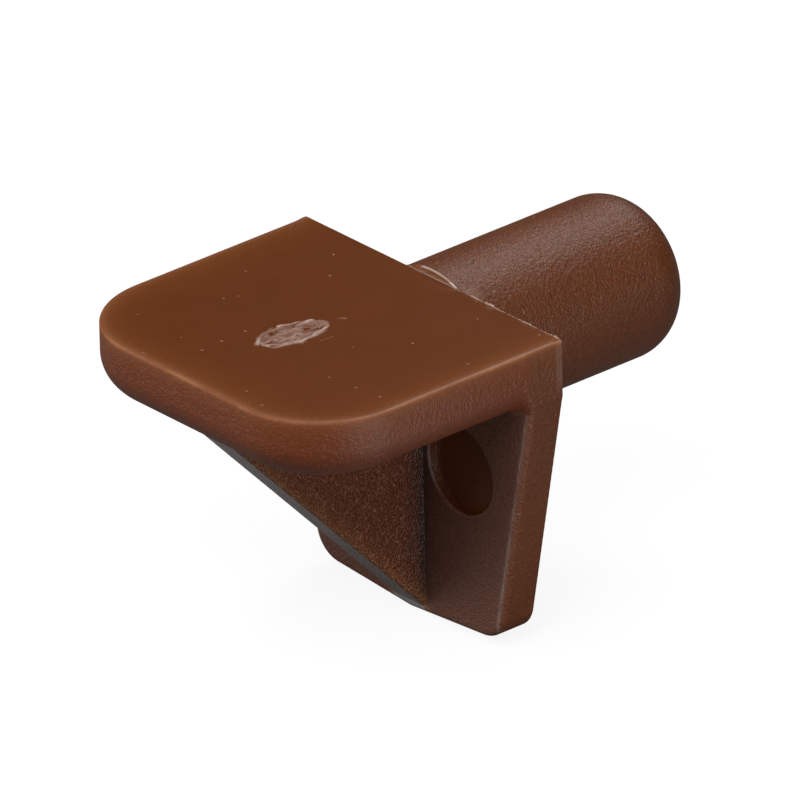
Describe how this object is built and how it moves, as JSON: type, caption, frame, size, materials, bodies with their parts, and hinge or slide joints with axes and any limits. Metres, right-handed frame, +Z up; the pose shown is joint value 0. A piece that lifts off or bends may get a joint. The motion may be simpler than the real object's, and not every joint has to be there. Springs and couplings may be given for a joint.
{
  "type": "shelf support peg",
  "caption": "Moulded shelf peg with a flat seat for the shelf, a ribbed wall plate and a round pin that fits a hole in a cabinet's side.",
  "frame": {"origin": "on the peg's axis, in the plane where the wall plate lies against the cabinet side", "axes": "+Y along the peg, into the cabinet side; +Z up, out of the seat; +X to the right seen from the front"},
  "size_m": [0.0142, 0.0224, 0.0134],
  "materials": {
    "brown_plastic": "brown moulded plastic with a fine spark-eroded grain, and a smoother satin top face"
  },
  "bodies": {
    "root": {"shelf_support": "brown_plastic"}
  },
  "joints": []
}
